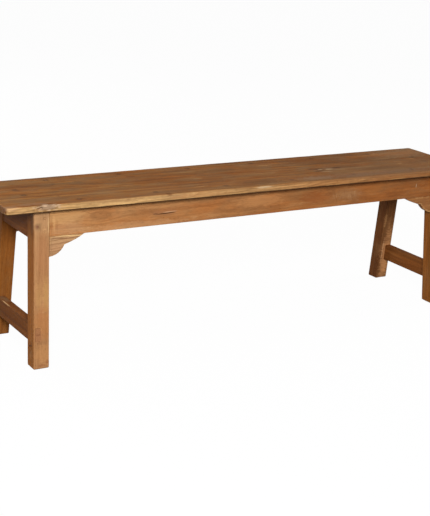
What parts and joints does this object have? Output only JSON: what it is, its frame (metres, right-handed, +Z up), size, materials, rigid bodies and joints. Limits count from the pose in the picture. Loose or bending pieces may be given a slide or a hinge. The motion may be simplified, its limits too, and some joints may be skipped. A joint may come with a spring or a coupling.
{
  "type": "bench",
  "caption": "Long backless wooden bench: plank seat on four splayed legs, with aprons, shaped corner brackets, end rails and low side stretchers.",
  "frame": {"origin": "on the floor, under the middle of the seat", "axes": "+X along the seat towards its right end, +Y from the front to the back, +Z up"},
  "size_m": [1.6, 0.3226, 0.45],
  "materials": {
    "seat_wood": "worn waxed hardwood, brown with darker long grain and scuffed pale edges",
    "leg_wood": "worn waxed hardwood, golden brown, upright grain",
    "apron_wood": "worn waxed hardwood, golden brown, long grain with a few knots",
    "bracket_wood": "worn waxed hardwood, golden brown, long grain",
    "rail_wood": "worn waxed hardwood, darker brown",
    "stretcher_wood": "worn waxed hardwood, darker brown, with a rubbed pale upper edge",
    "peg_wood": "end grain of dark hardwood",
    "nail_iron": "dark rusted iron"
  },
  "bodies": {
    "root": {"seat_plank": "seat_wood", "front_left_leg": "leg_wood", "front_right_leg": "leg_wood", "back_left_leg": "leg_wood", "back_right_leg": "leg_wood", "front_apron": "apron_wood", "back_apron": "apron_wood", "front_left_bracket": "bracket_wood", "front_right_bracket": "bracket_wood", "back_left_bracket": "bracket_wood", "back_right_bracket": "bracket_wood", "left_end_rail": "rail_wood", "right_end_rail": "rail_wood", "left_stretcher": "stretcher_wood", "right_stretcher": "stretcher_wood", "apron_pegs": "peg_wood", "stretcher_wedges": "peg_wood", "end_rail_nails": "nail_iron", "seat_nails": "nail_iron", "bracket_nails": "nail_iron"}
  },
  "joints": []
}
